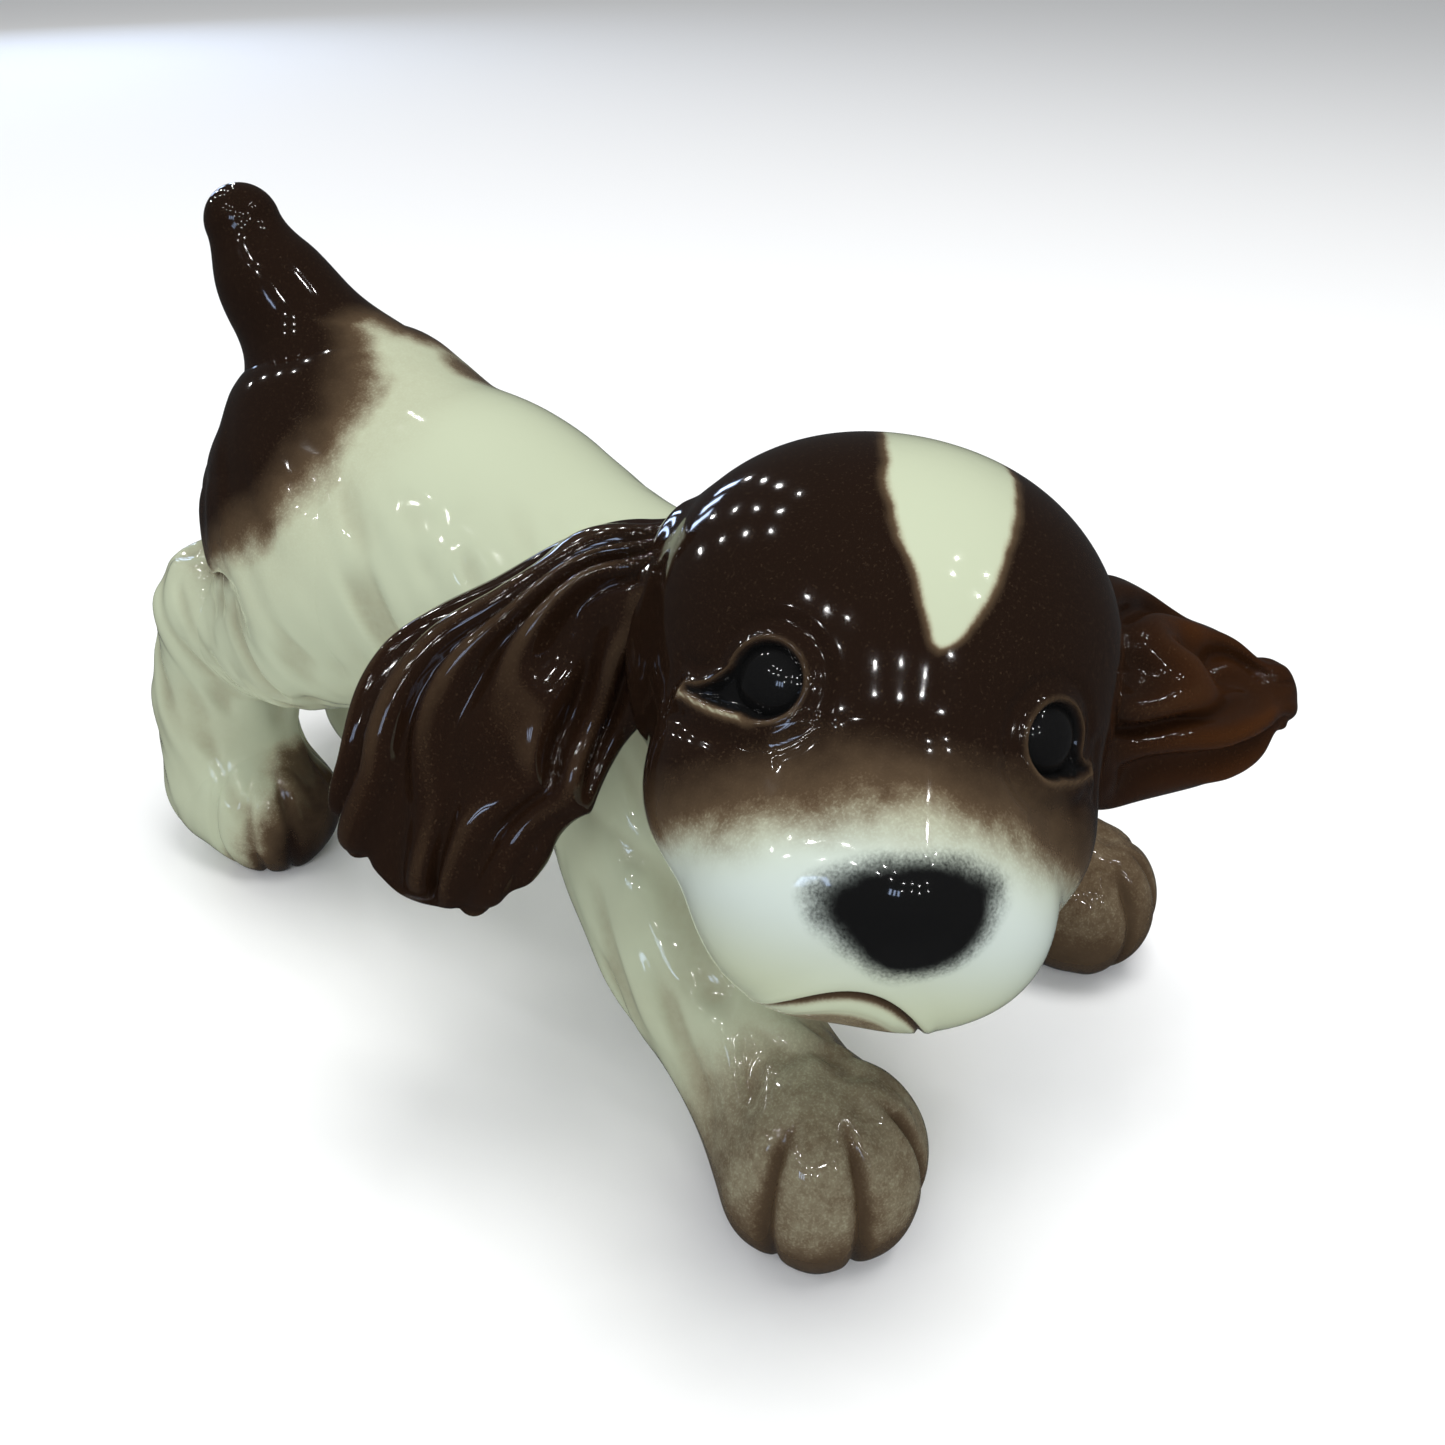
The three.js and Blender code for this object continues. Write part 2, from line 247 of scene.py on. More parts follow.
def swell_out(origins, rays, own_distance, farthest, neighbours):
    """Distances along the rays where own distance less the swelling is nought, found by halving."""
    low = np.zeros(len(origins))
    high = np.broadcast_to(farthest, (len(origins),)).astype(float)
    for _ in range(HALVINGS):
        middle = (low + high) / 2
        points = origins + middle[:, None] * rays
        own = own_distance(middle, points)
        value = own.copy()
        for distance, reach in neighbours:
            close = np.abs(own) < 3 * reach + 12  # farther off, no swelling changes the sign
            value[close] -= swelling(own[close] - distance(points[close]), reach)
        inside = value < 0
        low = np.where(inside, middle, low)
        high = np.where(inside, high, middle)
    return (low + high) / 2


# ---- meshes ----

def grid_normals(grid, rays):
    """Normals of a grid whose columns close on themselves, turned to the side the rays point to."""
    down = np.gradient(grid, axis=0)
    around = np.roll(grid, -1, axis=1) - np.roll(grid, 1, axis=1)
    normal = np.cross(down, around)
    length = np.linalg.norm(normal, axis=-1, keepdims=True)
    normal = np.where(length > 1e-9, normal / np.maximum(length, 1e-12), rays)
    sign = np.sign((normal[1:-1] * rays[1:-1]).sum())
    normal[1:-1] *= sign
    normal[0], normal[-1] = rays[0], rays[-1]
    return normal


def closed_grid(grid):
    """Vertices and faces of a grid closed round its columns, with its first and last rows as poles."""
    rows, columns = grid.shape[:2]
    vertices = np.concatenate([grid[0].mean(axis=0)[None], grid[1:-1].reshape(-1, grid.shape[2]),
                               grid[-1].mean(axis=0)[None]])
    index = np.arange(1, 1 + (rows - 2) * columns).reshape(rows - 2, columns)
    turned = np.roll(index, -1, axis=1)
    quads = np.stack([index[:-1], index[1:], turned[1:], turned[:-1]], axis=-1).reshape(-1, 4)
    first = np.stack([np.zeros(columns, int), index[0], turned[0]], axis=-1)
    last = np.stack([np.full(columns, len(vertices) - 1), turned[-1], index[-1]], axis=-1)
    return vertices, quads, np.concatenate([first, last])


def make_piece(name, shells):
    """One object from closed grids. A shell is (grid in mm, masks), with masks the same shape of
    grid holding the brown, black, stain_and_shade (pooled glaze and painted shade) and white of the glaze
    at each point. Where the glaze is brown, its white is read as warmth."""
    vertices, corners, sizes, masks = [], [], [], []
    offset = 0
    for grid, mask in shells:
        points, quads, triangles = closed_grid(np.concatenate([grid, mask], axis=-1))
        place = points[:, :3]
        if shell_volume(place, quads, triangles) < 0:
            quads, triangles = quads[:, ::-1], triangles[:, ::-1]
        vertices.append((place - FIGURE_MIDDLE) * MM)
        masks.append(points[:, 3:])
        corners.append(np.concatenate([(quads + offset).ravel(), (triangles + offset).ravel()]))
        sizes.append(np.concatenate([np.full(len(quads), 4), np.full(len(triangles), 3)]))
        offset += len(points)
    vertices, corners, sizes, masks = (np.concatenate(part) for part in (vertices, corners, sizes, masks))
    mesh = bpy.data.meshes.new(name)
    mesh.vertices.add(len(vertices))
    mesh.vertices.foreach_set("co", vertices.ravel())
    mesh.loops.add(len(corners))
    mesh.loops.foreach_set("vertex_index", corners.astype(np.int32))
    mesh.polygons.add(len(sizes))
    mesh.polygons.foreach_set("loop_start", (np.cumsum(sizes) - sizes).astype(np.int32))
    mesh.update(calc_edges=True)
    mesh.polygons.foreach_set("use_smooth", np.ones(len(sizes), dtype=bool))
    spray = mesh.attributes.new("spray", "FLOAT_COLOR", "POINT")
    spray.data.foreach_set("color", np.clip(masks, 0, 1).astype(np.float32).ravel())
    mesh.validate()
    piece = bpy.data.objects.new(name, mesh)
    bpy.context.scene.collection.objects.link(piece)
    return piece


def shell_volume(points, quads, triangles):
    """Six times the volume inside a closed shell; negative if its faces point inwards."""
    faces = np.concatenate([quads[:, :3], quads[:, [0, 2, 3]], triangles])
    a, b, c = (points[faces[:, i]] for i in range(3))
    return (a * np.cross(b, c)).sum()


# ---- rays ----

def limb_rays(spine, rows, columns, cap_rows):
    """Rays out of a spine, square to it, that fan round both ends: origins, rays and radii. A ray is
    the cosine of its rise times a circle's point, plus the sine of its rise along the spine."""
    places, along, radii = smooth_spine(spine, rows)
    across = unit(np.array([1.0, 0, 0]) - along[:, :1] * along)
    deep = np.cross(along, across)
    fan = np.linspace(0, math.pi / 2, cap_rows + 1)[1:]
    rise = np.concatenate([-fan[::-1], np.zeros(rows), fan])
    index = np.concatenate([np.zeros(cap_rows, int), np.arange(rows), np.full(cap_rows, rows - 1)])
    angle = np.linspace(0, 2 * math.pi, columns, endpoint=False)
    sideways = (across[index][:, None] * np.cos(angle)[:, None]
                + deep[index][:, None] * np.sin(angle)[:, None])
    rays = (np.cos(rise)[:, None, None] * sideways + np.sin(rise)[:, None, None] * along[index][:, None])
    origins = np.broadcast_to(places[index][:, None], rays.shape)
    return origins, rays, np.broadcast_to(radii[index][:, None], rays.shape[:2])


def limb_grid(spine, rows, columns, cap_rows, neighbours):
    """The grid of a round limb, swollen towards its neighbours, and its normals."""
    origins, rays, radii = limb_rays(spine, rows, columns, cap_rows)
    flat_radii = radii.reshape(-1)
    reach = swell_out(origins.reshape(-1, 3), rays.reshape(-1, 3),
                      lambda t, points: t - flat_radii, flat_radii + MOST_SWELLING, neighbours)
    grid = origins + reach.reshape(radii.shape)[..., None] * rays
    return grid, grid_normals(grid, rays)


# ---- relief carved and pressed into the clay ----

def fur_relief(points, amount, depth):
    """Combed tufts: narrow strands and broader tufts of noise, both drawn out down the coat and bent
    by slower noise, with soft hollows where the strands are lowest."""
    bent = points + 3 * lattice_noise(points / 12, seed=3)[..., None] * np.array([0.8, 1, 1])
    down = bent @ np.array([0, 0.55, 0.83])
    back = bent @ np.array([0, 0.83, -0.55])
    strands = lattice_noise(np.stack([bent[..., 0] / 3.4, back / 2.8, down / 14], axis=-1), seed=5)
    tufts = lattice_noise(np.stack([bent[..., 0] / 7, back / 6, down / 13], axis=-1), seed=8)
    hollows = smoothstep(0.05, -0.9, strands)
    return depth * amount * (0.45 * strands + 0.8 * tufts - 0.4 * hollows), hollows * amount


def toe_relief(points, depth, share, centre, heading, spacing, grooves):
    """Grooves between the toes: narrow bell curves of the angle round the paw, with the toes as wider
    bells between them, strongest low at the front."""
    groove_width, toe_width = 0.085, 0.30
    offset = points - centre
    angle = np.arctan2(offset[..., 1], offset[..., 0]) - heading
    angle = (angle + math.pi) % (2 * math.pi) - math.pi
    height = offset[..., 2] / np.maximum(np.linalg.norm(offset, axis=-1), 1e-6)
    front = smoothstep(1.9, 1.2, np.abs(angle)) * smoothstep(0.93, 0.6, height)
    near = smoothstep(17, 14, np.linalg.norm(offset, axis=-1))
    cut = sum(np.exp(-((angle - g * spacing) / groove_width) ** 2) for g in grooves)
    toes = [g + 0.5 for g in (*grooves, min(grooves) - 1)]
    swell = sum(np.exp(-((angle - toe * spacing) / toe_width) ** 2) for toe in toes)
    return depth * share * front * near * (0.5 * swell - cut), share * front * near * cut


# ---- glaze masks ----

def body_masks(points, grooves, toe_cuts):
    """Brown, black, stain_and_shade and white of the glaze on the body, tail and legs. Each brown patch is
    full within the second radius of its place, gone past the first, and ragged with noise between them.
    The stain_and_shade is painted shade that grows towards the bottom, and in the combed grooves it is
    glaze pooled there together with painted shade."""
    x, y, z = np.moveaxis(points, -1, 0)
    wobble = 1.8 * lattice_noise(points / 8, seed=11) + 0.7 * lattice_noise(points / 2.5, seed=13)

    def away(*place):
        return np.linalg.norm(points - np.array(place), axis=-1)

    brown = np.maximum(smoothstep(28, 14, away(-15, 50, 75) + wobble),
                       0.85 * smoothstep(24, 11, away(8, 51, 80) + wobble))
    brown = np.maximum(brown, smoothstep(79, 88, z + wobble) * smoothstep(34, 42, y))
    brown = np.maximum(brown, 0.45 * smoothstep(8, 2, away(9, 27, 79) + 0.5 * wobble))
    brown = np.maximum(brown, 0.13 * smoothstep(42, 22, away(-12, 48, 77) + wobble))
    # The brown grows stronger towards the bottom of each paw.
    foot = 0.22 * smoothstep(13, 2, z)
    for paw, size, strength in PAW_WASH:
        wash = (strength + foot) * smoothstep(size, 0.5 * size, away(*paw) + wobble)
        brown = np.maximum(brown, wash + 0.1 * wash * lattice_noise(points / 3, seed=17))
    # Brown darkens the grooves between the toes: partly glaze pooled there, partly painted shade.
    brown = brown + 0.22 * toe_cuts * smoothstep(0, 0.3, brown)
    # The head's brown runs on to the body at the root of the right ear.
    places = points.reshape(-1, 3)
    to_ear = ear_distance(RIGHT_EAR, RIGHT_EAR_FACES, EAR_HALF_THICKNESS)
    to_root = np.maximum(to_ear(places), head_distance(places)).reshape(x.shape)
    brown = np.maximum(brown, smoothstep(4.5, 3.0, to_root))
    # Painted shade: the clay darkens towards the bottom of the body, patchy with noise. In the combed
    # grooves it darkens partly from pooled glaze and partly from painted shade.
    low = smoothstep(66, 20, z)
    stain_and_shade = np.clip(0.12 * low + 0.5 * grooves + 0.15 * low * lattice_noise(points / 6, seed=21), 0, 1)
    return np.stack([brown, 0 * x, stain_and_shade, 0 * x], axis=-1)


def head_masks(local, marks):
    """Brown, black, stain_and_shade and white of the glaze on the head, in the head's own axes. The brown
    ends at an edge that drops with the square of the distance from the middle, and towards the nape. The
    blaze lies between two bent edges, and the nose is a leaning oval, wider at its top. marks are
    what the face's relief adds: painted shade in the creases under the eyes, black and brown lines,
    and rims made lighter partly where the glaze wears thin and partly as a painted highlight."""
    x, y, z = np.moveaxis(local, -1, 0)
    wobble = 1.2 * lattice_noise(local / 5, seed=31) + 0.6 * lattice_noise(local / 1.6, seed=33)
    edge = -5.0 - 0.018 * x ** 2 - 0.28 * np.maximum(y + 16, 0)
    brown = smoothstep(-8, 7.5, z - edge + 0.8 * wobble)
    left_edge = np.interp(z, [6.5, 13, 17, 22, 26], [-0.1, -2.8, -5.0, -6.5, -5.7])
    right_edge = np.interp(z, [6.5, 8.3, 12.4, 18, 24], [0.2, 2.1, 4.6, 6.6, 7.8])
    inside = np.minimum(x - left_edge, right_edge - x) - 0.035 * np.maximum(y + 2, 0) ** 2
    blaze = smoothstep(-1.2, 1.1, inside + 0.25 * wobble) * smoothstep(5.8, 8.0, z)
    # The lid rims and streaks lose their brown, partly where the glaze wears thin and partly as a painted
    # highlight.
    brown = brown * (1 - blaze) * (1 - marks["wear_and_highlight"])
    lean = math.radians(10)
    across = math.cos(lean) * (x - 0.2) + math.sin(lean) * (z + 15.3)
    height = math.cos(lean) * (z + 15.3) - math.sin(lean) * (x - 0.2)
    nose = (across / (8.5 + 0.3 * np.minimum(height, 2))) ** 2 + ((height + 0.9) / 5.6) ** 2
    black = smoothstep(1.5, 0.6, nose + 0.12 * wobble) * smoothstep(-17, -21, y)
    white = smoothstep(0, -9, z - edge) * smoothstep(-2, -10, y) * smoothstep(-27, -17, z)
    # The third channel on the head is painted shade in the creases under the eyes.
    return np.stack([np.maximum(brown, marks["brown"]), np.maximum(black, marks["black"]),
                     marks["hollow"], white], axis=-1)


# ---- the pieces ----

def distances():
    """The distance function and blending reach of every piece that others swell towards."""
    limbs = {
        "torso": TORSO, "tail": TAIL, "front_right": FRONT_RIGHT_LEG, "front_left": FRONT_LEFT_LEG,
        "right_haunch": HIND_RIGHT_HAUNCH, "left_haunch": HIND_LEFT_HAUNCH,
        "right_shank": HIND_RIGHT_SHANK, "left_shank": HIND_LEFT_SHANK,
        "right_paw": HIND_RIGHT_PAW, "left_paw": HIND_LEFT_PAW,
    }
    found = {name: chain_distance(spine) for name, spine in limbs.items()}
    found["head"] = head_distance
    return found


def neighbours_of(found, **reaches):
    """The neighbours of a piece as (distance function, blending reach) pairs."""
    return [(found[name], reach) for name, reach in reaches.items()]


def fur_amount(points):
    """Where the coat is combed: the flanks, haunches and legs, but not the back or the paws."""
    z = points[..., 2]
    flank = smoothstep(74, 56, z - 0.15 * points[..., 1])
    return flank * (0.35 + 0.65 * smoothstep(10, 20, z))


def stand_flat(grid):
    """The grid with everything below the ground pressed up to it."""
    flat = grid.copy()
    flat[..., 2] = np.maximum(flat[..., 2], 0)
    return flat


def body_shell(spine, rows, columns, cap_rows, neighbours, sizes, toes=None):
    """One limb's finished shell: swollen grid, combed fur and toes carved along its normals. It has
    so many rows along its spine, and so many more in each rounded end."""
    grid, normals = limb_grid(spine, rows, columns, cap_rows, neighbours)
    relief, grooves = fur_relief(grid, fur_amount(grid), sizes.fur_depth / MM)
    toe_cuts = np.zeros(grooves.shape)
    if toes:
        toe_depth, toe_cuts = toe_relief(grid, sizes.toe_depth / MM, *toes)
        relief = relief * smoothstep(10, 17, grid[..., 2]) + toe_depth
    grid = stand_flat(grid + relief[..., None] * normals)
    return grid, body_masks(grid, grooves, toe_cuts)


def head_shell(neighbours, rows=310, columns=310):
    """The head as rays from its middle, with the poles fore and aft and the rows packed at the face:
    the turn from the front pole grows as the row number to the power 1.25."""
    turn = np.linspace(0, 1, rows) ** 1.25 * math.pi
    angle = np.linspace(0, 2 * math.pi, columns, endpoint=False)
    rays = np.stack([np.sin(turn)[:, None] * np.cos(angle), np.broadcast_to(-np.cos(turn)[:, None],
                     (rows, columns)), np.sin(turn)[:, None] * np.sin(angle)], axis=-1)
    face_pitch = Matrix.Rotation(math.radians(22), 3, "X")
    local_rays = rays @ np.array(face_pitch).T
    world_rays = local_rays @ HEAD_TURN.T
    origins = np.broadcast_to(HEAD_CENTRE, world_rays.shape)
    reach = swell_out(origins.reshape(-1, 3), world_rays.reshape(-1, 3),
                      lambda t, points: head_distance(points), HEAD_REACH, neighbours)
    grid = origins + reach.reshape(rows, columns)[..., None] * world_rays
    normals = grid_normals(grid, world_rays)
    local = in_head_axes(grid)
    relief, marks = face_relief(local)
    grid = grid + relief[..., None] * normals
    return grid, head_masks(local, marks)


def eye_frame(side):
    """The eye's middle and its outward-to-the-corner, upward and looking axes, in the head's axes."""
    middle, looks = EYES[side]
    looks = looks / np.linalg.norm(looks)
    corner = np.cross(looks, [0, 0, 1]) * (1 if side == "left" else -1)
    corner = -corner / np.linalg.norm(corner)
    up = np.cross(corner, looks)
    return middle, corner, up * np.sign(up[2]), looks


def eye_opening(along, up, corner):
    """Distance outside the gap between the lids: a disc run out to a drooping outer corner, where an
    upper and a lower curve, both powers of the place along it, close to a point."""
    disc = np.hypot(along, up) - EYE_SHOWS
    left = np.clip((corner - along) / (corner - 2.5), 0, 1)
    top = 4.7 * left ** 2.1 - 2.5
    bottom = 0.8 * (1 - left) ** 2 - 3.35
    run = np.maximum(np.maximum(up - top, bottom - up), np.maximum(along - corner, 0.5 - along))
    return np.minimum(disc, run)


def face_relief(local):
    """The relief of the eyes, their lids and the mouth, and what they mark for the glaze. Rims, folds
    and creases are bell curves of the distance outside the lids' opening, with more of them below the
    eye. The mouth is a narrow bell-shaped groove along a parabola, between two fuller lips."""
    x, y, z = np.moveaxis(local, -1, 0)
    relief, hollow, black, wear_and_highlight = (np.zeros(x.shape) for _ in range(4))
    for side in EYES:
        middle, corner, upward, looks = eye_frame(side)
        offset = local - middle
        along, up = offset @ corner, offset @ upward
        near = smoothstep(14, 10, np.linalg.norm(offset, axis=-1)) * (offset @ looks > -9)
        gap = eye_opening(along, up, EYE_CORNERS[side])
        lower = smoothstep(-1.5, -3.2, up)
        relief += near * (-1.1 * smoothstep(0.25, -0.7, gap)
                          + 0.5 * np.exp(-((gap - 0.5) / 0.45) ** 2)
                          + 0.45 * lower * np.exp(-((gap - 1.3) / 0.9) ** 2)
                          - 0.3 * (1 - lower) * np.exp(-((gap - 2.4) / 0.7) ** 2)
                          - 0.35 * lower * np.exp(-((gap - 3.2) / 0.9) ** 2))
        black = np.maximum(black, near * smoothstep(0.3, -0.05, gap))
        # Lighter rims round the lids and a lighter streak along each lower lid, strongest on the right eye:
        # partly glaze worn thin, partly a painted highlight.
        rim = np.exp(-((gap - 0.55) / 0.28) ** 2) * (0.28 + 0.1 * lower)
        streak = lower * np.exp(-((gap - 0.75) / 0.45) ** 2) * smoothstep(-1.5, 2.0, along)
        wear_and_highlight = np.maximum(wear_and_highlight, near * np.maximum(rim, (0.75 if side == "right" else 0.25) * streak))
        # Painted shade along the crease under each lower lid.
        crease = lower * np.exp(-((gap - 3.0) / 0.8) ** 2)
        hollow = np.maximum(hollow, near * crease)
    across = x + 1.8
    lip = z + 25.3 + 0.075 * across ** 2
    mouth = smoothstep(9.5, 7.5, np.abs(across)) * smoothstep(-12, -16, y)
    under = smoothstep(6.5, 4, np.abs(across))
    relief += mouth * (0.5 * np.exp(-((lip - 1.8) / 1.4) ** 2) - 0.8 * np.exp(-(lip / 0.42) ** 2)
                       + 0.35 * under * np.exp(-((lip + 1.5) / 1.0) ** 2))
    brown = mouth * np.maximum(0.9 * np.exp(-((lip + 0.05) / 0.5) ** 2),
                               0.4 * smoothstep(-2.2, -3.6, lip))
    return relief, {"hollow": hollow, "black": black, "wear_and_highlight": wear_and_highlight, "brown": brown}


def ear_shell(spine, faces, sizes, strands, warmth, spine_rows=200, cap_rows=40, columns=220):
    """A flat ear: flat ovals along its spine, closed by a cap of shrinking ovals, waved across, and
    swollen where it meets the head. Its strands are a cosine of the place across the ear, so many
    to half its width, bent by a sine along it and by noise, and they fade at its edges and root."""
    rows = spine_rows + cap_rows
    thickness = sizes.ear_thickness / MM
    places, along, widths = smooth_spine(spine, spine_rows)
    facing = np.array(faces)
    across = unit(np.cross(facing, along))
    normal = np.cross(along, across)
    fan = np.linspace(0, math.pi / 2, cap_rows + 1)[1:]
    index = np.concatenate([np.arange(spine_rows), np.full(cap_rows, spine_rows - 1)])
    squeeze = np.concatenate([np.ones(spine_rows), np.cos(fan)])
    forward = np.concatenate([np.zeros(spine_rows), np.sin(fan)])
    angle = np.linspace(0, 2 * math.pi, columns, endpoint=False)
    half = (widths[index] * squeeze)[:, None] * np.cos(angle)
    out = (thickness * squeeze)[:, None] * np.sin(angle)
    centre = places[index] + (forward * widths[index] * 0.8)[:, None] * along[index]
    rays = unit(half[..., None] * across[index][:, None] / 3 + out[..., None] * normal[index][:, None] * 1.2
                + 1e-6 * along[index][:, None])
    rays[-1] = along[-1]
    rays[0] = -along[0]
    local = (centre[:, None] + half[..., None] * across[index][:, None]
             + out[..., None] * normal[index][:, None])
    local[0] = centre[0]
    length = np.broadcast_to((np.arange(rows) / rows)[:, None], half.shape)
    side = half / np.maximum(widths[index], 1e-6)[:, None]
    curl = 2.5 * side ** 2 - 1.5 * np.sin(3.2 * side + 5 * length) * smoothstep(0.1, 0.5, length)
    curl = curl * smoothstep(1, 6, widths[index] * squeeze)[:, None]
    local = local - curl[..., None] * normal[index][:, None]
    normals = grid_normals(local, rays)
    warp = lattice_noise(np.stack([length * 3.2, side * 1.6, np.sign(out)], axis=-1), seed=41)
    drift = lattice_noise(np.stack([length * 7, side * 3.5, np.sign(out)], axis=-1), seed=45)
    strand = strands * side + 0.55 * np.sin(5.5 * length + 0.8) + 0.55 * warp + 0.12 * drift
    ridge = 0.5 - 0.5 * np.cos(2 * math.pi * strand)
    patches = lattice_noise(np.stack([length * 4, side * 2, np.sign(out)], axis=-1), seed=43)
    broad = smoothstep(2.5, 8.5, widths[index] * squeeze)[:, None]
    fade = (smoothstep(0.05, 0.3, length) * broad
            * smoothstep(1.0, 0.85, np.abs(side)) * (0.35 + 0.65 * smoothstep(-0.7, 0.3, patches)))
    groove = (1 - ridge) ** 3
    relief = sizes.strand_depth / MM * fade * (0.55 * ridge - groove + 0.28 * drift)
    world = from_head_axes(local + relief[..., None] * normals)
    world_normals = normals @ HEAD_TURN.T
    for _ in range(3):  # in three steps, because the gap to the head changes as the ear swells
        gap = head_distance(world.reshape(-1, 3)).reshape(side.shape)
        world = world + 0.4 * np.minimum(swelling(-gap, EAR_BLEND), 1.5)[..., None] * world_normals
    # Lighter ridges where the brown is partly worn thin and partly a painted highlight along them.
    wear_and_highlight = fade * smoothstep(0.55, 1.0, ridge) * (0.6 + 0.4 * drift)
    brown = 1 - 0.3 * (1 - 0.6 * warmth) * wear_and_highlight
    amber = warmth * smoothstep(0.1, 0.6, length) * (0.35 + 0.65 * ridge * fade)
    # The third channel darkens the grooves: partly glaze pooled in them, partly painted shade.
    return world, np.stack([brown, 0 * brown, groove * fade, amber], axis=-1)


def eye_shell(side, radius, rows=60, columns=80):
    """A glossy dome: a ball set back in its socket until only the dome shows."""
    turn = np.linspace(0, math.pi, rows)
    angle = np.linspace(0, 2 * math.pi, columns, endpoint=False)
    rays = np.stack([np.sin(turn)[:, None] * np.cos(angle), np.broadcast_to(-np.cos(turn)[:, None],
                     (rows, columns)), np.sin(turn)[:, None] * np.sin(angle)], axis=-1)
    middle, _, _, looks = eye_frame(side)
    depth = math.sqrt(radius ** 2 - EYE_SHOWS ** 2)
    grid = from_head_axes(middle - depth * looks + radius * rays)
    return grid, np.broadcast_to(np.array([0.0, 1.0, 0.0, 0.0]), (*grid.shape[:2], 4))


# ---- materials ----

def glaze_material(name, settings):
    """Glossy glaze over sprayed colour. The spray attribute holds brown, black, stain_and_shade and white.
    Clay is cream or white, then darkened by pooled glaze and painted shade; brown runs from tan to its
    full colour, roughened by grain; black lies over all."""
    material = bpy.data.materials.new(name)
    material.use_nodes = True
    nodes, links = material.node_tree.nodes, material.node_tree.links
    nodes.clear()
    output = nodes.new("ShaderNodeOutputMaterial")
    glaze = nodes.new("ShaderNodeBsdfPrincipled")
    links.new(glaze.outputs[0], output.inputs[0])
    spray = nodes.new("ShaderNodeAttribute")
    spray.attribute_name = "spray"
    channels = nodes.new("ShaderNodeSeparateColor")
    links.new(spray.outputs["Color"], channels.inputs[0])
    coordinates = nodes.new("ShaderNodeTexCoord")

    def noise(scale, detail):
        texture = nodes.new("ShaderNodeTexNoise")
        texture.inputs["Scale"].default_value = scale
        texture.inputs["Detail"].default_value = detail
        links.new(coordinates.outputs["Object"], texture.inputs["Vector"])
        return texture.outputs["Fac"]

    def maths(operation, first, second):
        node = nodes.new("ShaderNodeMath")
        node.operation = operation
        for socket, value in zip(node.inputs, (first, second)):
            if isinstance(value, bpy.types.NodeSocket):
                links.new(value, socket)
            else:
                socket.default_value = value
        return node.outputs[0]

    def mix(amount, first, second):
        node = nodes.new("ShaderNodeMix")
        node.data_type = "RGBA"
        links.new(amount, node.inputs["Factor"])
        colours_a_and_b = (node.inputs[6], node.inputs[7])
        for socket, value in zip(colours_a_and_b, (first, second)):
            if isinstance(value, bpy.types.NodeSocket):
                links.new(value, socket)
            else:
                socket.default_value = (*value, 1)
        return node.outputs[2]

    def ramp(amount, stops):
        node = nodes.new("ShaderNodeValToRGB")
        links.new(amount, node.inputs[0])
        elements = node.color_ramp.elements
        while len(elements) < len(stops):
            elements.new(0.5)
        for element, (place, color) in zip(elements, stops):
            element.position = place
            element.color = (*color, 1)
        return node.outputs[0]

    fine = noise(scale=3200, detail=2)
    broad = noise(scale=900, detail=3)
    grain = maths("SUBTRACT", maths("ADD", maths("MULTIPLY", fine, 0.65),
                                    maths("MULTIPLY", broad, 0.35)), 0.5)

    def speckled(mask, strength):
        """The mask roughened most where it is neither full nor empty."""
        edge = maths("MULTIPLY", maths("MULTIPLY", mask, maths("SUBTRACT", 1, mask)), 4 * strength)
        return maths("ADD", mask, maths("MULTIPLY", edge, maths("MULTIPLY", grain, 3.0)))

    brown = speckled(channels.outputs[0], 0.14)
    flecks = maths("MAXIMUM", maths("SUBTRACT", fine, 0.54), 0)
    brown = maths("SUBTRACT", brown, maths("MULTIPLY", brown, maths("MULTIPLY", flecks, 0.8)))
    black = speckled(channels.outputs[1], 0.4)
    # Pooled glaze and painted shade, made patchy by broad noise.
    stain_and_shade = maths("MULTIPLY", channels.outputs[2], maths("ADD", 0.7, maths("MULTIPLY", broad, 0.6)))
    white = spray.outputs["Alpha"]
    clay = mix(white, settings.cream, settings.white)
    clay = mix(maths("MULTIPLY", stain_and_shade, 0.8), clay, settings.stain_and_shade)
    sprayed = ramp(brown, [(0.0, settings.tan), (0.5, settings.umber), (0.95, settings.brown)])
    sprayed = mix(maths("MULTIPLY", white, 0.8), sprayed, settings.amber)
    cover = nodes.new("ShaderNodeMapRange")
    cover.interpolation_type = "SMOOTHSTEP"
    cover.inputs["From Max"].default_value = 0.45
    links.new(brown, cover.inputs[0])
    colour = mix(cover.outputs[0], clay, sprayed)
    clamped = maths("MINIMUM", maths("MAXIMUM", black, 0), 1)
    colour = mix(clamped, colour, settings.black)
    links.new(colour, glaze.inputs["Base Color"])
    glaze.inputs["Roughness"].default_value = 0.07
    glaze.inputs["IOR"].default_value = 1.48
    ripple = nodes.new("ShaderNodeBump")
    ripple.inputs["Strength"].default_value = 0.12
    ripple.inputs["Distance"].default_value = 0.0004
    links.new(noise(scale=220, detail=2), ripple.inputs["Height"])
    links.new(ripple.outputs[0], glaze.inputs["Normal"])
    return material


# ---- settings ----

